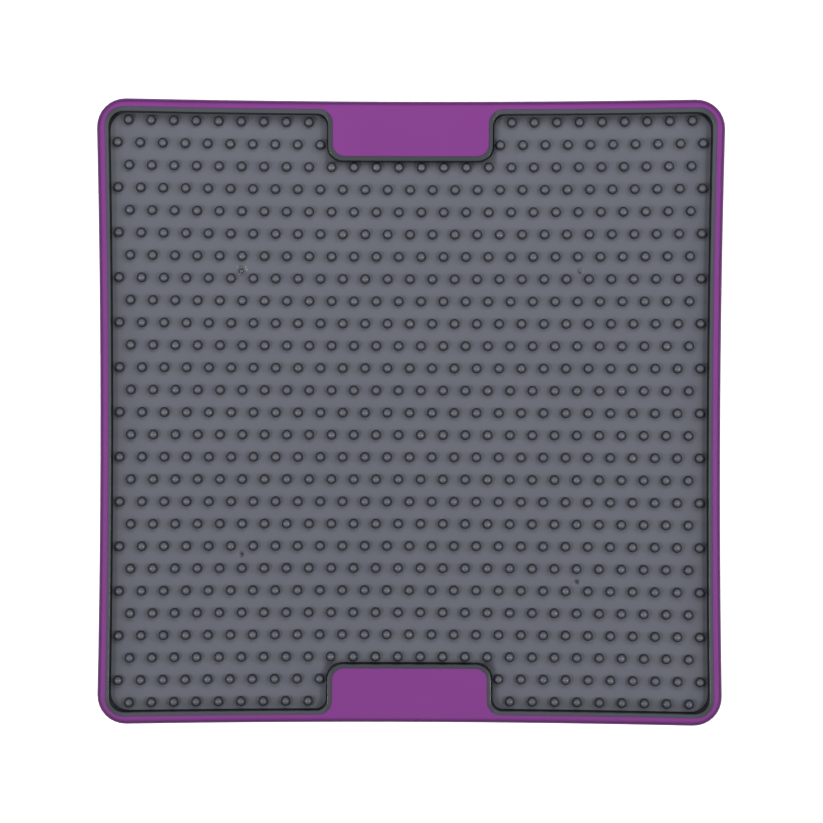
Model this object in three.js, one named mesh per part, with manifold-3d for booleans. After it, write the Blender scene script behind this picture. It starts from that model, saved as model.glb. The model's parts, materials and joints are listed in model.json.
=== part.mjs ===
// Lick mat for a pet: a square plastic tray with a nubbed rubber mat set into its well.
// Millimetres, +Z up. The origin is the middle of the underside; the two grips lie at -Y and +Y.

import * as THREE from 'three';
import { mergeVertices } from 'three/addons/utils/BufferGeometryUtils.js';
import Module from 'manifold-3d';

const wasm = await Module();
wasm.setup();

// Outline of the tray, seen from above. The middle of each side is drawn in, as moulded plates shrink.
const TRAY_WIDTH = 200;
const TRAY_CORNER_RADIUS = 9.6;
const SIDE_BOW = { x: 1.25, y: 1.1 }; // x on the two plain sides, y on the two sides with a grip
const RIM_WIDTH = 2.62;
const WELL_CORNER_RADIUS = 6;

// Grips: flat lands level with the rim, at the middle of two sides
const GRIP_WIDTH = 49.6;
const GRIP_DEPTH = 17.55; // from the line through the tray's corners to the grip's front
const GRIP_FRONT_RADIUS = 3.7;
const GRIP_ROOT_RADIUS = 4.3;

// Heights above the surface that the tray stands on
const TRAY_HEIGHT = 10;
const UNDERSIDE_RECESS = 0.8;
const BASE_THICKNESS = 2.2;
const MAT_FLOOR_HEIGHT = 6;
const UPSTAND_HEIGHT = 9.9;
const NUB_HEIGHT = 2.5; // above the floor of the mat

// Edges of the tray
const TOP_EDGE_RADIUS = 1.7;
const BOTTOM_EDGE_CHAMFER = 0.6;
const FOOT_WIDTH = 6; // the ring under the rim that the tray stands on

// Mat: its upstand follows the rim and the grips, and its inner face is this far from them
const FIT_CLEARANCE = 0.3;
const UPSTAND_REACH = { rim: 1.2, gripSide: 1.4, gripFront: 1.3 };
const POCKET_CORNER_RADIUS = 5.1;
const POCKET_FRONT_RADIUS = 4.8;
const POCKET_ROOT_RADIUS = 3.4;

// Nubs: four-sided tapers of about the area of the real round ones
const NUB_BASE_RADIUS = 2.1;
const NUB_TOP_RADIUS = 1.6;
const NUB_SIDES = 4;
const NUB_ROOT = 0.6; // how deep a nub starts below the floor, so that it joins it

// Rows of nubs: every second row is set over by half a pitch
const NUB_PITCH = 7.175;
const NUB_ROWS = 27;
const NUB_FIELD_BOW = { x: 0.88, y: 1.15 }; // the rows draw in like the sides
const NUB_FIELD_SHIFT = { x: -0.19, y: 0 }; // the field lies a little off the middle of the well
const GRIP_ROWS = 2; // rows at each end that stop beside the grips
const GRIP_ROW_CLEAR = 3.9; // in pitches from the middle: no nub of those rows lies nearer

// Fineness of the outlines and rounded edges
const STRAIGHT_STEP = 25;
const ARC_STEP_DEG = 15;
const EDGE_STEPS = 4;

// Cutting and joining
const CUTTER_OVERRUN = 1; // how far a cutter runs past the face that it opens
const MERGE_TOLERANCE = 1e-4;

// Derived heights and reach
const BASE_TOP = UNDERSIDE_RECESS + BASE_THICKNESS;
const MAT_BOTTOM = BASE_TOP + FIT_CLEARANCE;
const ABOVE = TRAY_HEIGHT + CUTTER_OVERRUN;
const BELOW = -CUTTER_OVERRUN;
const HALF = TRAY_WIDTH / 2;

const materials = {
  tray: new THREE.MeshStandardMaterial({ color: '#8a4092', roughness: 0.38, metalness: 0 }),
  mat: new THREE.MeshStandardMaterial({ color: '#6f7076', roughness: 0.62, metalness: 0 }),
};

// Draws a point of the square plan in towards the middle: by the bow at the middle of a side, by
// nothing at the corners, following a parabola along each side.
function drawIn(point, bow) {
  const x = point.x * (1 - (bow.x / HALF) * (1 - (point.y / HALF) ** 2));
  const y = point.y * (1 - (bow.y / HALF) * (1 - (point.x / HALF) ** 2));
  return new THREE.Vector2(x, y);
}

// Adds the points between two ends of a straight stretch, both ends left out.
function addStraight(points, start, end) {
  const count = Math.ceil(start.distanceTo(end) / STRAIGHT_STEP);
  for (let step = 1; step < count; step += 1) {
    points.push(start.clone().lerp(end, step / count));
  }
}

// Closed outline through square corners, each rounded with its own radius, then drawn in.
// Corners go round counter-clockwise as { x, y, radius }.
function roundedOutline(corners) {
  const rounded = corners.map((corner, index) => {
    const point = new THREE.Vector2(corner.x, corner.y);
    const before = corners[(index + corners.length - 1) % corners.length];
    const after = corners[(index + 1) % corners.length];
    const back = new THREE.Vector2(before.x, before.y).sub(point).normalize();
    const ahead = new THREE.Vector2(after.x, after.y).sub(point).normalize();
    const centre = point.clone().addScaledVector(back, corner.radius).addScaledVector(ahead, corner.radius);
    const steps = Math.round(90 / ARC_STEP_DEG);
    const arc = [];
    for (let step = 0; step <= steps; step += 1) {
      const angle = (step / steps) * (Math.PI / 2);
      const onArc = centre.clone();
      onArc.addScaledVector(ahead, -corner.radius * Math.cos(angle));
      onArc.addScaledVector(back, -corner.radius * Math.sin(angle));
      arc.push(onArc);
    }
    return arc;
  });
  const points = [];
  rounded.forEach((arc, index) => {
    points.push(...arc);
    addStraight(points, arc[arc.length - 1], rounded[(index + 1) % rounded.length][0]);
  });
  return points.map((point) => drawIn(point, SIDE_BOW));
}

// Plain rounded square, inset from the tray's edge.
function squareOutline(inset) {
  const half = HALF - inset;
  const radius = TRAY_CORNER_RADIUS - inset;
  const signs = [[1, -1], [1, 1], [-1, 1], [-1, -1]];
  return roundedOutline(signs.map(([sx, sy]) => ({ x: sx * half, y: sy * half, radius })));
}

// The well between the rim and the two grips. reach gives how far inside them the outline runs.
function wellOutline(reach, radii) {
  const half = HALF - RIM_WIDTH - reach.rim;
  const gripHalf = GRIP_WIDTH / 2 + reach.gripSide;
  const gripFront = HALF - GRIP_DEPTH - reach.gripFront;
  return roundedOutline([
    { x: half, y: -half, radius: radii.corner },
    { x: half, y: half, radius: radii.corner },
    { x: gripHalf, y: half, radius: radii.root },
    { x: gripHalf, y: gripFront, radius: radii.front },
    { x: -gripHalf, y: gripFront, radius: radii.front },
    { x: -gripHalf, y: half, radius: radii.root },
    { x: -half, y: half, radius: radii.corner },
    { x: -half, y: -half, radius: radii.corner },
    { x: -gripHalf, y: -half, radius: radii.root },
    { x: -gripHalf, y: -gripFront, radius: radii.front },
    { x: gripHalf, y: -gripFront, radius: radii.front },
    { x: gripHalf, y: -half, radius: radii.root },
  ]);
}

// The tray's well, made smaller by the same clearance all round.
function clearedWell(clearance) {
  return wellOutline(
    { rim: clearance, gripSide: clearance, gripFront: clearance },
    {
      corner: WELL_CORNER_RADIUS - clearance,
      front: GRIP_FRONT_RADIUS + clearance,
      root: GRIP_ROOT_RADIUS - clearance,
    },
  );
}

// The inner face of the mat's upstand.
function pocketOutline() {
  return wellOutline(UPSTAND_REACH, {
    corner: POCKET_CORNER_RADIUS,
    front: POCKET_FRONT_RADIUS,
    root: POCKET_ROOT_RADIUS,
  });
}

// Upright prism over an outline, from one height to another.
function prism(outline, bottom, top) {
  const geometry = new THREE.ExtrudeGeometry(new THREE.Shape(outline), {
    depth: top - bottom,
    bevelEnabled: false,
    steps: 1,
  });
  geometry.translate(0, 0, bottom);
  return geometry;
}

// Closed body through a stack of like outlines: each level gives its outline and its height.
function stack(levels) {
  const count = levels[0].outline.length;
  const positions = [];
  for (const level of levels) {
    for (const point of level.outline) {
      positions.push(point.x, point.y, level.z);
    }
  }
  const indices = [];
  for (let level = 0; level + 1 < levels.length; level += 1) {
    for (let step = 0; step < count; step += 1) {
      const a = level * count + step;
      const b = level * count + ((step + 1) % count);
      indices.push(a, b, b + count, a, b + count, a + count);
    }
  }
  const lastStart = (levels.length - 1) * count;
  for (const [a, b, c] of THREE.ShapeUtils.triangulateShape(levels[0].outline, [])) {
    indices.push(a, c, b);
  }
  for (const [a, b, c] of THREE.ShapeUtils.triangulateShape(levels[levels.length - 1].outline, [])) {
    indices.push(lastStart + a, lastStart + b, lastStart + c);
  }
  const geometry = new THREE.BufferGeometry();
  geometry.setAttribute('position', new THREE.Float32BufferAttribute(positions, 3));
  geometry.setIndex(indices);
  return geometry;
}

function toSolid(geometry) {
  const bare = geometry.clone();
  bare.deleteAttribute('normal');
  bare.deleteAttribute('uv');
  const merged = mergeVertices(bare, MERGE_TOLERANCE);
  return new wasm.Manifold(new wasm.Mesh({
    numProp: 3,
    vertProperties: Float32Array.from(merged.attributes.position.array),
    triVerts: Uint32Array.from(merged.index.array),
  }));
}

function toMesh(name, solid, material) {
  const result = solid.getMesh();
  const geometry = new THREE.BufferGeometry();
  geometry.setAttribute('position', new THREE.Float32BufferAttribute(result.vertProperties, 3));
  geometry.setIndex(new THREE.Uint32BufferAttribute(result.triVerts, 1));
  geometry.computeVertexNormals();
  const mesh = new THREE.Mesh(geometry, material);
  mesh.name = name;
  return mesh;
}

// Levels of the tray's outside: chamfered foot, upright side, top edge rounded as a quarter circle.
function trayBlock() {
  const levels = [
    { outline: squareOutline(BOTTOM_EDGE_CHAMFER), z: 0 },
    { outline: squareOutline(0), z: BOTTOM_EDGE_CHAMFER },
  ];
  for (let step = 0; step <= EDGE_STEPS; step += 1) {
    const angle = (step / EDGE_STEPS) * (Math.PI / 2);
    levels.push({
      outline: squareOutline(TOP_EDGE_RADIUS * (1 - Math.cos(angle))),
      z: TRAY_HEIGHT - TOP_EDGE_RADIUS * (1 - Math.sin(angle)),
    });
  }
  return toSolid(stack(levels));
}

function makeTray() {
  const well = toSolid(prism(clearedWell(0), BASE_TOP, ABOVE));
  const recess = toSolid(prism(squareOutline(FOOT_WIDTH), BELOW, UNDERSIDE_RECESS));
  return toMesh('tray', trayBlock().subtract(well).subtract(recess), materials.tray);
}

// Centres of the nubs, drawn in and shifted with their field.
function nubCentres() {
  const centres = [];
  const middleRow = (NUB_ROWS - 1) / 2;
  for (let row = 0; row < NUB_ROWS; row += 1) {
    const setOver = row % 2 === 0;
    const inRow = setOver ? NUB_ROWS - 1 : NUB_ROWS;
    const besideGrip = Math.abs(row - middleRow) > middleRow - GRIP_ROWS;
    for (let place = 0; place < inRow; place += 1) {
      const across = place - (inRow - 1) / 2;
      if (besideGrip && Math.abs(across) < GRIP_ROW_CLEAR) {
        continue;
      }
      const even = new THREE.Vector2(across * NUB_PITCH, (row - middleRow) * NUB_PITCH);
      centres.push(drawIn(even, NUB_FIELD_BOW).add(NUB_FIELD_SHIFT));
    }
  }
  return centres;
}

// One nub: a four-sided taper with its corners on two circles, one below the floor and one at the top.
function nub(centre) {
  const foot = MAT_FLOOR_HEIGHT - NUB_ROOT;
  const top = MAT_FLOOR_HEIGHT + NUB_HEIGHT;
  const positions = [];
  for (const [radius, z] of [[NUB_BASE_RADIUS, foot], [NUB_TOP_RADIUS, top]]) {
    for (let side = 0; side < NUB_SIDES; side += 1) {
      const angle = ((side + 0.5) / NUB_SIDES) * 2 * Math.PI;
      positions.push(centre.x + radius * Math.cos(angle), centre.y + radius * Math.sin(angle), z);
    }
  }
  const indices = [];
  for (let side = 0; side < NUB_SIDES; side += 1) {
    const next = (side + 1) % NUB_SIDES;
    indices.push(side, next, NUB_SIDES + next);
    indices.push(side, NUB_SIDES + next, NUB_SIDES + side);
  }
  for (let side = 1; side + 1 < NUB_SIDES; side += 1) {
    indices.push(0, side + 1, side);
    indices.push(NUB_SIDES, NUB_SIDES + side, NUB_SIDES + side + 1);
  }
  return { positions, indices };
}

// All nubs as one loose set of tapers, which touch nothing but the floor they stand in.
function nubField() {
  const positions = [];
  const indices = [];
  for (const centre of nubCentres()) {
    const one = nub(centre);
    const offset = positions.length / 3;
    positions.push(...one.positions);
    indices.push(...one.indices.map((index) => index + offset));
  }
  const geometry = new THREE.BufferGeometry();
  geometry.setAttribute('position', new THREE.Float32BufferAttribute(positions, 3));
  geometry.setIndex(indices);
  return toSolid(geometry);
}

function makeMat() {
  const block = toSolid(prism(clearedWell(FIT_CLEARANCE), MAT_BOTTOM, UPSTAND_HEIGHT));
  const pocket = toSolid(prism(pocketOutline(), MAT_FLOOR_HEIGHT, ABOVE));
  return toMesh('mat', block.subtract(pocket).add(nubField()), materials.mat);
}

const lickMat = new THREE.Group();
lickMat.add(makeTray());
lickMat.add(makeMat());

export default lickMat;
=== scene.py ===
import json
import math

import bpy
import numpy as np
from mathutils import Matrix, Vector
from mathutils.geometry import delaunay_2d_cdt

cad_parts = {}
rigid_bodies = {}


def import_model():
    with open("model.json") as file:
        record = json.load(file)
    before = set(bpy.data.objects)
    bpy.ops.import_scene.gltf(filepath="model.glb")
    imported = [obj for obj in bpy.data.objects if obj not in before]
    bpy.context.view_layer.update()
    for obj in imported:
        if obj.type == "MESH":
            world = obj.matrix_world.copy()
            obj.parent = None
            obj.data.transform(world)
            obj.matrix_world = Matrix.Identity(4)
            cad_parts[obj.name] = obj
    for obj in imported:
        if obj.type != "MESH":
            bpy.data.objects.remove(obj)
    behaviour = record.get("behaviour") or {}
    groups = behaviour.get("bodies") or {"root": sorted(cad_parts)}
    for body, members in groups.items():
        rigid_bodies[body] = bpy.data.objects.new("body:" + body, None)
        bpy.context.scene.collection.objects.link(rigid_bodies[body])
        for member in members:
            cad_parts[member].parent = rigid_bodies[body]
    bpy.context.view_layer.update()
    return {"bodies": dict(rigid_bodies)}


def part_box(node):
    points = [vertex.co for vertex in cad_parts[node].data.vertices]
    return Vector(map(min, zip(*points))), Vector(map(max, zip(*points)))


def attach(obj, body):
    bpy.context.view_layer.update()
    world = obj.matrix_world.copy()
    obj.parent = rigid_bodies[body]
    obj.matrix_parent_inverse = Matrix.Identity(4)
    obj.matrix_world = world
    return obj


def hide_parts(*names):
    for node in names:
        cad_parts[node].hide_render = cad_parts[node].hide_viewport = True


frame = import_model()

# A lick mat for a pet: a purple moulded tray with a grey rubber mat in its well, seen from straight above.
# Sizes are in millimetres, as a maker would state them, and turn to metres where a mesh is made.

MM = 0.001

# The tray in plan. The middle of each side is drawn in, as moulded plates shrink: by the first bow at the
# ends of X, and by the second at the ends of Y.
TRAY_WIDTH = 200.0
HALF = TRAY_WIDTH / 2
TRAY_CORNER_RADIUS = 9.6
SIDE_BOW = (1.25, 1.1)
RIM_WIDTH = 2.62
WELL_CORNER_RADIUS = 6.0

# The two grips, which stand into the well from the middle of the rims at the ends of Y
GRIP_WIDTH = 49.6
GRIP_DEPTH = 17.55
GRIP_FRONT_RADIUS = 3.7
GRIP_ROOT_RADIUS = 4.3

# Heights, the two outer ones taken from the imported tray
TRAY_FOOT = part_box("tray")[0].z / MM
TRAY_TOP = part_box("tray")[1].z / MM
UNDERSIDE_RECESS = 0.8
BASE_TOP = 3.0
MAT_FLOOR = 6.0
NUB_HEIGHT = 2.5

# Edges of the tray. The flat ring that it stands on ends this far in from its side.
TOP_EDGE_RADIUS = 1.7
BOTTOM_EDGE_CHAMFER = 0.6
FOOT_REACH = 6.0
WELL_EDGE_RADIUS = 0.1

# The mat: a bead along the rim, a narrow groove at its foot, then the lip and the floor. The bead and the
# groove have a bow of their own, and lie off the tray's middle by the shift along X and Y. The bead has a
# width along the rims at the ends of X (across) and of Y (along), and at the side and the front of a grip.
MAT_CLEARANCE = 0.03
RELIEF_BOW = (1.05, 1.1)
RELIEF_SHIFT = (-0.1, -0.14)
BEAD_WIDTH = {"across": 1.2, "along": 1.27, "side": 1.4, "front": 1.32}
BEAD_RADII = {"corner": 5.1, "root": 3.4, "front": 4.8}
BEAD_OUTER_TOP = 9.92
BEAD_INNER_TOP = 9.8
BEAD_EDGE_SHARE = 0.12  # the part of the bead's width that its rounded inner edge takes
BEAD_EDGE_DROP = 0.12
GROOVE_WIDTH = 0.4
GROOVE_BOTTOM = 5.5
LIP_RADII = {"corner": 5.75, "root": 3.4, "front": 5.0}
LIP_EDGE_RADIUS = 0.1

# The nubs stand in rows along X. At each end of Y the last rows pass a grip, and have no nub within so many
# pitches of the middle. The rings of a nub from its foot up are given as radius and height over the floor.
NUB_PITCH = 7.175
NUB_ROWS = 27
NUB_FIELD_BOW = (0.88, 1.15)
NUB_FIELD_SHIFT = (-0.19, 0.0)
ROWS_AT_GRIP = 2
PITCHES_TO_GRIP = 3.9
NUB_SEGMENTS = 12
NUB_SIDES = ((1.52, 0), (1.63, 0.3), (1.62, 1.3), (1.46, 1.85), (1.05, 2.23), (0.5, 2.44))

# Steps along the plan paths: in a round corner, along a whole side, from a corner to a grip, and along the
# side and the front of a grip
ARC_STEPS = 8
SIDE_SPANS = 12
RIM_SPANS = 5
GRIP_SIDE_SPANS = 3
GRIP_FRONT_SPANS = 6

# Steps over a rounded edge. The small edges take every second or third of them.
EDGE_STEPS = 6
QUARTER_TURN = np.linspace(0, math.pi / 2, EDGE_STEPS + 1)

# Shading of the meshes
SHARP_DEGREES = 40.0  # edges that turn by more than this are sharp
LEVEL = 0.99999  # faces whose normal has at least this much of Z are level

# The tray's colour: its own purple tones, and a painted shade, darker, on the rounded top edge and the
# sides, which fades out between two heights where the flat top begins.
PURPLE_TONES = ("#82368B", "#873C90")
PURPLE_PAINTED_EDGE_SHADE = "#56185E"
PURPLE_ROUGHNESS = (0.5, 0.58)
PURPLE_IOR = 1.49
EDGE_SHADE_FADE_HEIGHTS = (9.72, 10.0)

# The mat's colours: its own tone, a painted shade on the floor along the rims and round the grips, a
# painted shade on the walls, groove and bead, and the tone of the gate marks
GREY_TONES = ("#6B6E78", "#70737B")
GREY_PAINTED_RIM_SHADE = "#262626"
GREY_PAINTED_WALL_SHADE = "#23252A"
GREY_GATE = "#26282C"
GREY_ROUGHNESS = (0.21, 0.25)
GREY_IOR = 1.5

# The patterns of the finishes, each a noise: how far apart its blotches, waves or grains lie, and its
# octaves of detail. The grain of a real mould is under 0.1, and is drawn as coarse as it needs to show.
PURPLE_BLOTCH = (30.0, 2.0)
PURPLE_WAVE = (9.0, 1.0)
PURPLE_GRAIN = (0.35, 3.0)
GREY_BLOTCH = (22.0, 3.0)
GREY_GRAIN = (0.4, 3.0)

# How deep the waves and the grain are, and how much of that each finish shows
WAVE_DEPTH = 0.1
GRAIN_DEPTH = 0.05
PURPLE_WAVE_STRENGTH = 0.2
PURPLE_GRAIN_STRENGTH = 0.12
GREY_GRAIN_STRENGTH = 0.15

# How much of the painted shade the mat has by height: 0 is none, 1 is all of it
WALL_SHADE_BY_HEIGHT = (
    (5.0, 0.75), (5.9, 0.75),  # the groove
    (5.98, 0), (6.02, 0),  # the floor
    (6.1, 1), (7.85, 1),  # the sides of the nubs and of the bead
    (8.2, 0.6), (8.4, 0.15), (8.6, 0.15),  # the tops of the nubs
    (9.0, 0.36), (10.0, 0.36),  # the top of the bead
)

# Towards the rim the floor is painted darker: painted shade where the bead's wall blocks light. It turns
# between two distances from the mat's middle, up to the first share at the ends of X and the second at the
# ends of Y.
RIM_SHADE_DISTANCES = (91.0, 94.5)
RIM_SHADE_SHARE = (0.14, 0.22)

# Round the grips the painted shade is darker still, and ends this far beyond the bead.
GRIP_SHADE_REACH = 2.0
GRIP_SHADE_SHARE = 0.44

# Where the rubber came into the mould: small rings on the floor, as x, y and radius. GATE_NOISE, a pattern
# like those above, shakes them by up to GATE_WOBBLE. It also fades them: down to the share GATE_LEAST where
# it is at the lower of GATE_LEVELS, and not at all at the upper one. GATE_DEPTH is how deep they look.
GATE_MARKS = ((-53.9, 45.0, 1.5), (54.0, 45.2, 0.85), (-53.6, -45.5, 0.9), (53.5, -54.0, 0.9))
GATE_DEPTH = 0.2
GATE_NOISE = (0.9, 1.0)
GATE_WOBBLE = 0.6
GATE_LEVELS = (0.35, 0.55)
GATE_LEAST = 0.3

# How dark a gate mark is by distance from its middle, in radii: an inner ring and a fainter outer one
GATE_SHADES = (
    (0.0, 0.0), (0.15, 0.2), (0.35, 1.0), (0.55, 0.9), (0.7, 0.1),
    (0.9, 0.2), (1.05, 0.5), (1.3, 0.0),
)

# The camera: its place, and its focal length in the picture's pixels. The near and far clips are in metres.
CAMERA_DISTANCE = 1232.0
CAMERA_TARGET = (0.365, 0.1, 0.0)
CAMERA_TILT = math.radians(2.4)
CAMERA_SIDE_TILT = math.radians(0.452)
CAMERA_ROLL = math.radians(-0.150)
CAMERA_CLIPS = (0.05, 50.0)
PICTURE_WIDTH = 823
FOCAL_PIXELS = 3842.0
SENSOR_WIDTH = 36.0

# Studio: a pale table that glows a little, as a light table does, under a faint sky and soft lights. The
# table's size is in metres, and it lies a hair lower than the tray's foot.
WHITE = "#FFFFFF"
TABLE_SIZE = 8.0
TABLE_DROP = 0.1
TABLE_COLOUR = "#F4F4F2"
TABLE_ROUGHNESS = 0.8
TABLE_GLOW = 0.85
SKY_STRENGTH = 0.06

# Softboxes: name, place and size in metres, power in watts, and whether gloss shows them
SOFTBOXES = (
    ("key_left", (-0.6, -0.2, 0.98), (0.15, 0.15), 2.8, True),
    ("key_right", (0.6, -0.2, 0.98), (0.15, 0.15), 2.8, True),
    ("upper_right", (0.6, 0.55, 0.8), (0.5, 0.4), 3.0, False),
    ("lower_left", (-0.5, -0.6, 0.9), (0.5, 0.4), 0.8, False),
    ("low_left", (-1.1, 0.0, 0.45), (0.4, 0.3), 2.4, False),
    ("low_right", (1.1, 0.0, 0.45), (0.4, 0.3), 2.7, False),
    ("fill", (-0.08, 0.32, 0.5), (0.25, 0.25), 1.05, False),
)


def unit(vectors):
    """The vectors, each divided by its length."""
    return vectors / np.linalg.norm(vectors, axis=-1, keepdims=True)


def drawn_in(points, bow):
    """Plan points drawn in by a parabola along each side:
    x * (1 - bow_x / half * (1 - (y / half) squared)), and y alike. Nothing moves at the corners, and the
    bow is the most, at the middle of a side."""
    x, y = points[..., 0], points[..., 1]
    return np.stack(
        [
            x * (1 - bow[0] / HALF * (1 - (y / HALF) ** 2)),
            y * (1 - bow[1] / HALF * (1 - (x / HALF) ** 2)),
        ],
        axis=-1,
    )


def corner_arcs(corners):
    """Quarter rounds at square corners (x, y, radius): centre - radius * (cos t * ahead + sin t * back), t
    from 0 to 90 degrees, where back and ahead point to the corners before and after, and the centre lies a
    radius from both sides."""
    corners = np.array(corners, float)
    points, radius = corners[:, None, :2], corners[:, None, 2:]
    back = unit(np.roll(points, 1, axis=0) - points)
    ahead = unit(np.roll(points, -1, axis=0) - points)
    turn = np.linspace(0, math.pi / 2, ARC_STEPS + 1)[None, :, None]
    return points + radius * (back + ahead) - radius * (np.cos(turn) * ahead + np.sin(turn) * back)


def between(start, end, spans):
    """The points that part the straight from start to end into equal spans, both ends left out."""
    share = np.linspace(0, 1, spans + 1)[1:-1, None]
    return start + (end - start) * share


def closed_path(pieces):
    """The whole path from the pieces of its first half. The tray is alike after half a turn, so the second
    half is the first one turned."""
    half_path = np.concatenate(pieces)
    return np.concatenate([half_path, -half_path])


def well_path(inset, radii, bow=SIDE_BOW):
    """The plan path of the well, moved into it by inset: the rims across the ends of X and along those of
    Y, the side of a grip and its front each have their own, and so have the three kinds of corner."""
    half, end = HALF - RIM_WIDTH - inset["across"], HALF - RIM_WIDTH - inset["along"]
    grip = GRIP_WIDTH / 2 + inset["side"]
    front = HALF - GRIP_DEPTH - inset["front"]
    corner, root, nose = radii["corner"], radii["root"], radii["front"]
    first = [
        (half, -end, corner), (half, end, corner),
        (grip, end, root), (grip, front, nose), (-grip, front, nose), (-grip, end, root),
    ]
    arcs = corner_arcs(first + [(-x, -y, radius) for x, y, radius in first])
    spans = [SIDE_SPANS, RIM_SPANS, GRIP_SIDE_SPANS, GRIP_FRONT_SPANS, GRIP_SIDE_SPANS, RIM_SPANS]
    pieces = []
    for place, count in enumerate(spans):
        pieces += [arcs[place], between(arcs[place][-1], arcs[place + 1][0], count)]
    return drawn_in(closed_path(pieces), bow)


def even_well(inset):
    """The tray's own well path, moved into the well by the same inset all round."""
    return well_path(
        dict.fromkeys(BEAD_WIDTH, inset),
        {
            "corner": WELL_CORNER_RADIUS - inset,
            "root": GRIP_ROOT_RADIUS - inset,
            "front": GRIP_FRONT_RADIUS + inset,
        },
    )


def relief_path(beyond_bead, radii):
    """The well path moved in by the bead's width and by as much more as is given."""
    inset = {side: width + beyond_bead for side, width in BEAD_WIDTH.items()}
    return well_path(inset, radii, RELIEF_BOW) + RELIEF_SHIFT


def edge_path(inset):
    """The tray's outer path, moved in by inset and paired point for point with the well path: corners with
    corners, straights with straights, and behind a grip as many even steps as the well takes round it,
    which are four rounds and the straights between them."""
    half, radius = HALF - inset, TRAY_CORNER_RADIUS - inset
    corners = [(half, -half), (half, half), (-half, half), (-half, -half)]
    arcs = corner_arcs([(x, y, radius) for x, y in corners])
    landing = np.array([GRIP_WIDTH / 2 + GRIP_ROOT_RADIUS, half])
    count = 4 * (ARC_STEPS + 1) + 2 * (GRIP_SIDE_SPANS - 1) + GRIP_FRONT_SPANS - 1
    behind = np.stack([np.linspace(landing[0], -landing[0], count), np.full(count, half)], axis=1)
    side = between(arcs[0][-1], arcs[1][0], SIDE_SPANS)
    rim = between(arcs[1][-1], landing, RIM_SPANS)
    return drawn_in(closed_path([arcs[0], side, arcs[1], rim, behind, rim[::-1] * (-1, 1)]), SIDE_BOW)


def at_height(path, height):
    """A plan path as points in space, all at one height."""
    return np.column_stack([path, np.full(len(path), height)])


def ring_faces(rings, count):
    """Quads between neighbouring closed rings of count points, as rows of four indices."""
    ring, step = np.meshgrid(np.arange(rings - 1), np.arange(count), indexing="ij")
    here, there = ring * count + step, ring * count + (step + 1) % count
    return np.stack([here, there, there + count, here + count], axis=-1).reshape(-1, 4)


def make_mesh(name, points, faces, material):
    """A piece from its points in millimetres and its faces. Level faces are flat, so that nothing shades
    them towards their edges. The rest is smooth but for the sharp edges."""
    mesh = bpy.data.meshes.new(name)
    mesh.from_pydata(np.asarray(points) * MM, [], [face.tolist() for face in faces])
    mesh.set_sharp_from_angle(angle=math.radians(SHARP_DEGREES))
    normals = np.empty((len(mesh.polygons), 3), np.float32)
    mesh.polygons.foreach_get("normal", normals.ravel())
    mesh.polygons.foreach_set("use_smooth", np.abs(normals[:, 2]) < LEVEL)
    mesh.materials.append(material)
    mesh.validate()
    piece = bpy.data.objects.new(name, mesh)
    bpy.context.scene.collection.objects.link(piece)
    return piece


def linear(hex_colour):
    """A colour written as sRGB hex, as linear red, green, blue and an alpha of 1."""
    value = np.array([int(hex_colour[place:place + 2], 16) for place in (1, 3, 5)]) / 255
    value = np.where(value <= 0.04045, value / 12.92, ((value + 0.055) / 1.055) ** 2.4)
    return (*value.tolist(), 1.0)


def add(tree, kind, settings=None, inputs=None):
    """Adds a node: settings are its properties, inputs are values or the sockets that feed it."""
    made = tree.nodes.new(kind)
    for name, value in (settings or {}).items():
        setattr(made, name, value)
    for name, value in (inputs or {}).items():
        if isinstance(value, bpy.types.NodeSocket):
            tree.links.new(value, made.inputs[name])
        else:
            made.inputs[name].default_value = value
    return made


def new_material(name):
    """A material with an empty node tree, and that tree."""
    material = bpy.data.materials.new(name)
    material.use_nodes = True
    material.node_tree.nodes.clear()
    return material, material.node_tree


def noise(tree, place, pattern):
    """A noise over the places, with the pattern's size and octaves of detail."""
    size, detail = pattern
    return add(
        tree, "ShaderNodeTexNoise",
        inputs={"Vector": place, "Scale": 1 / (size * MM), "Detail": detail},
    )


def compute(tree, operation, *values):
    """The outcome of a maths node on the values, each of them a number or a socket."""
    return add(tree, "ShaderNodeMath", {"operation": operation}, dict(enumerate(values))).outputs[0]


def remapped(tree, value, old, new=(0.0, 1.0), course="LINEAR"):
    """The value carried from the old range over to the new one, and held at its ends."""
    return add(
        tree, "ShaderNodeMapRange", {"interpolation_type": course},
        {
            "Value": value, "From Min": old[0], "From Max": old[1],
            "To Min": new[0], "To Max": new[1],
        },
    ).outputs["Result"]


def mixed(tree, share, first, second):
    """The first colour with that share of the second in it."""
    return add(
        tree, "ShaderNodeMix", {"data_type": "RGBA"}, {"Factor": share, "A": first, "B": second},
    ).outputs[2]


def surface(tree, inputs):
    """Ends the tree with a surface that has these inputs."""
    shader = add(tree, "ShaderNodeBsdfPrincipled", inputs=inputs)
    add(tree, "ShaderNodeOutputMaterial", inputs={"Surface": shader.outputs[0]})


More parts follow.
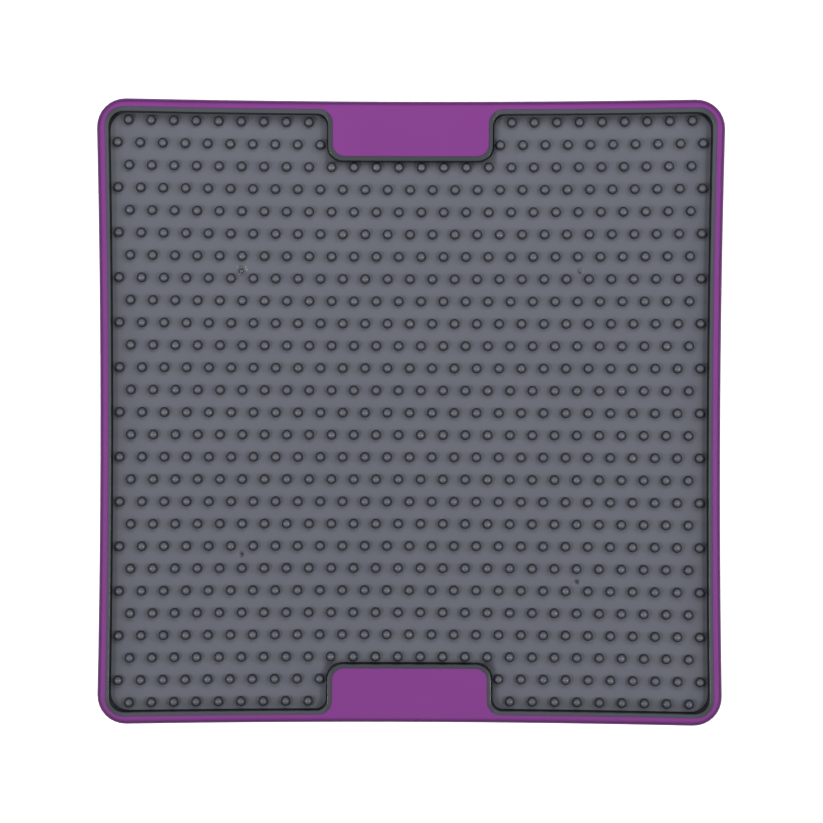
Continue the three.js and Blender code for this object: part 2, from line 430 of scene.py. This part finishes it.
def purple_polypropylene():
    """Injection-moulded polypropylene with a satin mould finish: a deep, even purple with a soft grey
    sheen, and a very fine grain that keeps reflections from being sharp. The rounded top edge and the sides
    below the flat top are painted darker: painted shade."""
    material, tree = new_material("purple_polypropylene_moulded")
    place = add(tree, "ShaderNodeTexCoord").outputs["Object"]
    flow = noise(tree, place, PURPLE_BLOTCH).outputs["Fac"]
    top = mixed(tree, flow, linear(PURPLE_TONES[0]), linear(PURPLE_TONES[1]))
    height = add(tree, "ShaderNodeSeparateXYZ", inputs={"Vector": place}).outputs["Z"]
    unshaded_share = remapped(tree, height, (EDGE_SHADE_FADE_HEIGHTS[0] * MM, EDGE_SHADE_FADE_HEIGHTS[1] * MM))
    # Painted shade: the rounded top edge and the sides are darker than the flat top
    tone = mixed(tree, unshaded_share, linear(PURPLE_PAINTED_EDGE_SHADE), top)
    grain = noise(tree, place, PURPLE_GRAIN).outputs["Fac"]
    waves = noise(tree, place, PURPLE_WAVE).outputs["Fac"]
    rough = remapped(tree, waves, (0.0, 1.0), PURPLE_ROUGHNESS)
    fine = add(
        tree, "ShaderNodeBump",
        inputs={"Height": grain, "Strength": PURPLE_GRAIN_STRENGTH, "Distance": GRAIN_DEPTH * MM},
    )
    bump = add(
        tree, "ShaderNodeBump",
        inputs={
            "Height": waves, "Strength": PURPLE_WAVE_STRENGTH, "Distance": WAVE_DEPTH * MM,
            "Normal": fine.outputs[0],
        },
    )
    surface(
        tree, {"Base Color": tone, "Roughness": rough, "IOR": PURPLE_IOR, "Normal": bump.outputs[0]},
    )
    return material


def graded(tree, value, stops, measure):
    """How strong a painted shade or a gate mark is where the value lies between the stops, which pair a
    value in that measure with a strength: it runs in straight stretches from stop to stop."""
    low, high = stops[0][0], stops[-1][0]
    level = remapped(tree, value, (low * measure, high * measure))
    curve = add(tree, "ShaderNodeValToRGB", inputs={"Fac": level})
    elements = curve.color_ramp.elements
    while len(elements) < len(stops):
        elements.new(1.0)
    for element, (at, strength) in zip(elements, stops):
        element.position = (at - low) / (high - low)
        element.color = (strength, strength, strength, 1)
    return curve.outputs["Color"]


def rim_painted_shade(tree, axes):
    """How much of the painted shade along the rims each place has. The distance that counts is |x| + bow *
    (1 - (y / half) squared), which undoes the drawing in, so that the shade follows the rim, and y alike.
    In a corner the two shares add up."""
    rims = (
        ("X", "Y", RELIEF_BOW[0], RIM_SHADE_SHARE[0]),
        ("Y", "X", RELIEF_BOW[1], RIM_SHADE_SHARE[1]),
    )
    shares = []
    for axis, other, bow, most in rims:
        reach = compute(tree, "ABSOLUTE", axes.outputs[axis])
        off = compute(tree, "DIVIDE", axes.outputs[other], HALF * MM)
        square = compute(tree, "MULTIPLY", off, off)
        straight = compute(tree, "MULTIPLY_ADD", square, -bow * MM, reach)
        turn = [(at - bow) * MM for at in RIM_SHADE_DISTANCES]
        shares.append(remapped(tree, straight, turn, (0.0, most), "SMOOTHSTEP"))
    return compute(tree, "ADD", *shares)


def grip_painted_shade(tree, axes):
    """How much of the painted shade round the grips each place has: all of it where |x| and |y| both lie on
    a grip or its bead, and less and less up to the shade's end."""
    side = GRIP_WIDTH / 2 + BEAD_WIDTH["side"]
    front = (HALF - GRIP_DEPTH - BEAD_WIDTH["front"]) * (1 - RELIEF_BOW[1] / HALF)
    shares = []
    for axis, end, edge in (("X", side + GRIP_SHADE_REACH, side), ("Y", front - GRIP_SHADE_REACH, front)):
        reach = compute(tree, "ABSOLUTE", axes.outputs[axis])
        shares.append(remapped(tree, reach, (end * MM, edge * MM), course="SMOOTHSTEP"))
    both = compute(tree, "MULTIPLY", *shares)
    return compute(tree, "MULTIPLY", both, GRIP_SHADE_SHARE)


def painted_floor_shade(tree, place):
    """How much painted shade the floor has: that along the rims or that round the grips, whichever is more.
    """
    axes = add(tree, "ShaderNodeSeparateXYZ", inputs={"Vector": place})
    return compute(tree, "MAXIMUM", rim_painted_shade(tree, axes), grip_painted_shade(tree, axes))


def gate_marks(tree, place):
    """How much of a gate mark each place is: rings about the given middles, with the place itself shaken by
    a noise so that they come out uneven, and stronger in some parts than in others."""
    shake = noise(tree, place, GATE_NOISE)
    uneven = add(
        tree, "ShaderNodeVectorMath", {"operation": "MULTIPLY_ADD"},
        {0: shake.outputs["Color"], 1: [GATE_WOBBLE * MM] * 3, 2: place},
    )
    nearest = None
    for x, y, radius in GATE_MARKS:
        middle = [(at + GATE_WOBBLE / 2) * MM for at in (x, y, MAT_FLOOR)]
        away = add(
            tree, "ShaderNodeVectorMath", {"operation": "DISTANCE"}, {0: uneven.outputs[0], 1: middle},
        )
        share = compute(tree, "DIVIDE", away.outputs["Value"], radius * MM)
        nearest = share if nearest is None else compute(tree, "MINIMUM", nearest, share)
    rings = graded(tree, nearest, GATE_SHADES, 1.0)
    strength = remapped(tree, shake.outputs["Fac"], GATE_LEVELS, (GATE_LEAST, 1.0))
    return compute(tree, "MULTIPLY", rings, strength)


def grey_rubber():
    """Moulded thermoplastic rubber: a cool mid grey, matt with a faint soft sheen, and slightly blotchy
    where the melt met in the mould. Painted shade darkens it by height, in the groove, on the sides of the
    nubs and of the bead, on the bead's top and a little on the nub tops, and on the floor along the rims
    and round the grips. Four small dark marks show where the rubber came in."""
    material, tree = new_material("grey_thermoplastic_rubber_moulded")
    place = add(tree, "ShaderNodeTexCoord").outputs["Object"]
    flow = noise(tree, place, GREY_BLOTCH).outputs["Fac"]
    floor_tone = mixed(tree, flow, linear(GREY_TONES[0]), linear(GREY_TONES[1]))
    height = add(tree, "ShaderNodeSeparateXYZ", inputs={"Vector": place}).outputs["Z"]
    # Painted shade: the floor darker along the rims and round the grips
    floor_tone = mixed(tree, painted_floor_shade(tree, place), floor_tone, linear(GREY_PAINTED_RIM_SHADE))
    # Painted shade by height: darker in the groove, on the sides of the nubs and of the bead, on the bead's
    # top, and a little on the nub tops
    smooth = graded(tree, height, WALL_SHADE_BY_HEIGHT, MM)
    tone = mixed(tree, smooth, floor_tone, linear(GREY_PAINTED_WALL_SHADE))
    marks = gate_marks(tree, place)
    tone = mixed(tree, marks, tone, linear(GREY_GATE))
    grain = noise(tree, place, GREY_GRAIN).outputs["Fac"]
    rough = remapped(tree, flow, (0.0, 1.0), GREY_ROUGHNESS)
    fine = add(
        tree, "ShaderNodeBump",
        inputs={"Height": grain, "Strength": GREY_GRAIN_STRENGTH, "Distance": GRAIN_DEPTH * MM},
    )
    bump = add(
        tree, "ShaderNodeBump", {"invert": True},
        {"Height": marks, "Strength": 1.0, "Distance": GATE_DEPTH * MM, "Normal": fine.outputs[0]},
    )
    surface(
        tree, {"Base Color": tone, "Roughness": rough, "IOR": GREY_IOR, "Normal": bump.outputs[0]},
    )
    return material


def make_tray(material):
    """The tray: one profile carried round paired paths. It runs from the recess under the base down its
    wall, out along the foot, up the side, over the rounded top edge, across the flat to the well and down
    its wall. Two flat caps close it."""
    rounding = [
        at_height(
            edge_path(TOP_EDGE_RADIUS * (1 - math.cos(t))),
            TRAY_TOP - TOP_EDGE_RADIUS * (1 - math.sin(t)),
        )
        for t in QUARTER_TURN
    ]
    well_edge = [
        at_height(
            even_well(-WELL_EDGE_RADIUS * (1 - math.sin(t))),
            TRAY_TOP - WELL_EDGE_RADIUS * (1 - math.cos(t)),
        )
        for t in QUARTER_TURN[::2]
    ]
    rings = [
        at_height(edge_path(FOOT_REACH), TRAY_FOOT + UNDERSIDE_RECESS),
        at_height(edge_path(FOOT_REACH), TRAY_FOOT),
        at_height(edge_path(BOTTOM_EDGE_CHAMFER), TRAY_FOOT),
        at_height(edge_path(0), TRAY_FOOT + BOTTOM_EDGE_CHAMFER),
        *rounding,
        *well_edge,
        at_height(even_well(0), BASE_TOP),
    ]
    count = len(rings[0])
    last = (len(rings) - 1) * count
    caps = [np.arange(count)[::-1], last + np.arange(count)]
    faces = [*ring_faces(len(rings), count), *caps]
    return make_mesh("tray_moulding", np.concatenate(rings), faces, material)


def nub_centres():
    """Centres of the nubs: rows a pitch apart, every second one set over by half a pitch and one nub
    shorter, with the end rows left out beside the grips; then drawn in and shifted."""
    middle = (NUB_ROWS - 1) / 2
    row, place = np.meshgrid(np.arange(NUB_ROWS), np.arange(NUB_ROWS), indexing="ij")
    in_row = NUB_ROWS - 1 + row % 2
    across = place - (in_row - 1) / 2
    at_grip = np.abs(row - middle) > middle - ROWS_AT_GRIP
    kept = (place < in_row) & ~(at_grip & (np.abs(across) < PITCHES_TO_GRIP))
    plan = np.stack([across[kept], row[kept] - middle], axis=-1) * NUB_PITCH
    return drawn_in(plan, NUB_FIELD_BOW) + NUB_FIELD_SHIFT


def nub_points(centres):
    """All nubs: nub, ring, segment and coordinate; a point is the centre plus radius * (cos a, sin a)."""
    profile = np.array(NUB_SIDES, float)
    around = np.arange(NUB_SEGMENTS) / NUB_SEGMENTS * 2 * math.pi
    circle = np.stack([np.cos(around), np.sin(around)], axis=1)
    plan = centres[:, None, None, :] + profile[None, :, None, :1] * circle[None, None]
    height = np.broadcast_to(MAT_FLOOR + profile[None, :, None, 1:], plan[..., :1].shape)
    return np.concatenate([plan, height], axis=-1)


def floor_triangles(lip, feet):
    """Flat filling between the lip of the groove and the feet of the nubs, left open under each nub. Points
    are the lip's and then the feet's, and the answer indexes into that list."""
    outer = np.arange(len(lip))
    start = len(lip) + np.arange(len(feet))[:, None] * NUB_SEGMENTS
    step = np.arange(NUB_SEGMENTS)[None]
    rounds = np.stack([start + step, start + (step + 1) % NUB_SEGMENTS], axis=-1).reshape(-1, 2)
    edges = np.concatenate([np.stack([outer, np.roll(outer, -1)], axis=1), rounds])
    plan = [Vector(point) for point in np.concatenate([lip, feet.reshape(-1, 2)]).tolist()]
    inside_only = 1
    merge_within = 1e-7
    _, _, faces, origins, _, _ = delaunay_2d_cdt(plan, edges.tolist(), [], inside_only, merge_within)
    triangles = np.array([sources[0] for sources in origins])[np.array(faces)]
    # A point of a foot is known by its nub, and a point of the lip by a number below zero of its own
    owner = np.where(triangles < len(lip), -1 - triangles, (triangles - len(lip)) // NUB_SEGMENTS)
    under_nub = (owner[:, 0] == owner[:, 1]) & (owner[:, 1] == owner[:, 2])
    return triangles[~under_nub]


def mat_rings():
    """The rings of the mat along the well: up against the tray's wall, over the bead, down its inner face
    into the groove and up over the lip. The profile gives how far across and how high each one lies: across
    is 0 on the wall, 1 on the bead's inner face, 2 on the lip and 3 where the floor starts. Between two of
    these paths a ring is (1 - share) * the one + share * the other."""
    paths = (
        even_well(MAT_CLEARANCE),
        relief_path(0, BEAD_RADII),
        relief_path(GROOVE_WIDTH, LIP_RADII),
        relief_path(GROOVE_WIDTH + LIP_EDGE_RADIUS, LIP_RADII),
    )
    bead_edge = [
        (1 - BEAD_EDGE_SHARE * (1 - math.sin(t)), BEAD_INNER_TOP - BEAD_EDGE_DROP * (1 - math.cos(t)))
        for t in QUARTER_TURN[::2]
    ]
    lip_edge = [
        (3 - math.cos(t), MAT_FLOOR - LIP_EDGE_RADIUS * (1 - math.sin(t)))
        for t in QUARTER_TURN[::3]
    ]
    profile = [
        (0, BASE_TOP), (0, BEAD_OUTER_TOP), *bead_edge,
        (1, GROOVE_BOTTOM), (2, GROOVE_BOTTOM), *lip_edge,
    ]
    rings = []
    for across, height in profile:
        first = min(int(across), len(paths) - 2)
        share = across - first
        rings.append(at_height(paths[first] * (1 - share) + paths[first + 1] * share, height))
    return rings


def make_mat(material):
    """The mat: its rings, closed by a flat face underneath, and a flat floor with the nubs standing on it.
    A nub is quads from ring to ring and a crown of triangles up to its top."""
    rings = mat_rings()
    centres = nub_centres()
    nubs = nub_points(centres)
    tops = np.column_stack([centres, np.full(len(centres), MAT_FLOOR + NUB_HEIGHT)])
    points = np.concatenate([*rings, nubs.reshape(-1, 3), tops])

    count, nub_rings = len(rings[0]), len(NUB_SIDES)
    around = np.arange(NUB_SEGMENTS)
    starts = len(rings) * count + np.arange(len(centres))[:, None] * nub_rings * NUB_SEGMENTS
    lip = (len(rings) - 1) * count + np.arange(count)
    lip_and_feet = np.concatenate([lip, (starts + around).ravel()])
    floor = lip_and_feet[floor_triangles(rings[-1][:, :2], nubs[:, 0, :, :2])]

    sides = (starts[..., None] + ring_faces(nub_rings, NUB_SEGMENTS)).reshape(-1, 4)
    last = starts + (nub_rings - 1) * NUB_SEGMENTS + around
    top = np.broadcast_to(len(points) - len(tops) + np.arange(len(tops))[:, None], last.shape)
    crowns = np.stack([last, np.roll(last, -1, axis=1), top], axis=-1).reshape(-1, 3)
    faces = [*ring_faces(len(rings), count), np.arange(count)[::-1], *floor, *sides, *crowns]
    return make_mesh("mat_moulding", points, faces, material)


def make_table():
    """The studio's floor: one square of a pale stuff that glows a little, as a light table does."""
    reach = TABLE_SIZE / 2
    corners = [(-reach, -reach, 0), (reach, -reach, 0), (reach, reach, 0), (-reach, reach, 0)]
    mesh = bpy.data.meshes.new("studio_floor")
    mesh.from_pydata(corners, [], [(0, 1, 2, 3)])
    material, tree = new_material("white_light_table")
    surface(
        tree,
        {
            "Base Color": linear(TABLE_COLOUR), "Roughness": TABLE_ROUGHNESS,
            "Emission Color": linear(WHITE), "Emission Strength": TABLE_GLOW,
        },
    )
    mesh.materials.append(material)
    floor = bpy.data.objects.new("studio_floor", mesh)
    floor.location.z = -TABLE_DROP * MM
    bpy.context.scene.collection.objects.link(floor)


def make_sky():
    """A faint even white light from all sides."""
    world = bpy.data.worlds.new("studio_white")
    world.use_nodes = True
    world.node_tree.nodes.clear()
    sky = add(
        world.node_tree, "ShaderNodeBackground",
        inputs={"Color": linear(WHITE), "Strength": SKY_STRENGTH},
    )
    add(world.node_tree, "ShaderNodeOutputWorld", inputs={"Surface": sky.outputs[0]})
    bpy.context.scene.world = world


def make_camera():
    """Camera straight above, tilted and turned by the small angles that the rows of nubs show."""
    back = Vector(
        (
            math.sin(CAMERA_SIDE_TILT),
            math.sin(CAMERA_TILT) * math.cos(CAMERA_SIDE_TILT),
            math.cos(CAMERA_TILT) * math.cos(CAMERA_SIDE_TILT),
        )
    )
    right = Vector((0, 1, 0)).cross(back).normalized()
    up = back.cross(right)
    rolled_right = right * math.cos(CAMERA_ROLL) - up * math.sin(CAMERA_ROLL)
    rolled_up = right * math.sin(CAMERA_ROLL) + up * math.cos(CAMERA_ROLL)
    data = bpy.data.cameras.new("camera")
    data.sensor_width = SENSOR_WIDTH
    data.lens = FOCAL_PIXELS / PICTURE_WIDTH * SENSOR_WIDTH
    data.clip_start, data.clip_end = CAMERA_CLIPS
    camera = bpy.data.objects.new("camera", data)
    place = (Vector(CAMERA_TARGET) + back * CAMERA_DISTANCE) * MM
    axes = Matrix((rolled_right, rolled_up, back)).transposed()
    camera.matrix_world = Matrix.Translation(place) @ axes.to_4x4()
    bpy.context.scene.collection.objects.link(camera)
    bpy.context.scene.camera = camera


def add_softbox(name, place, size, power, shows_in_gloss):
    """An area light of that size in metres, at that place and aimed at the middle of the tray."""
    light = bpy.data.lights.new(name, "AREA")
    light.shape = "RECTANGLE"
    light.size, light.size_y = size
    light.energy = power
    box = bpy.data.objects.new(name, light)
    box.location = place
    box.rotation_mode = "QUATERNION"
    box.rotation_quaternion = (-Vector(place)).to_track_quat("-Z", "Y")
    box.visible_camera = False
    box.visible_glossy = shows_in_gloss
    bpy.context.scene.collection.objects.link(box)


purple = purple_polypropylene()
grey = grey_rubber()
tray = make_tray(purple)
mat = make_mat(grey)
for piece, node in ((tray, "tray"), (mat, "mat")):
    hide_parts(node)
    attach(piece, next(iter(frame["bodies"])))

make_table()
make_sky()
make_camera()
for name, place, size, power, shows_in_gloss in SOFTBOXES:
    add_softbox(name, place, size, power, shows_in_gloss)
bpy.context.scene.view_settings.view_transform = "Standard"
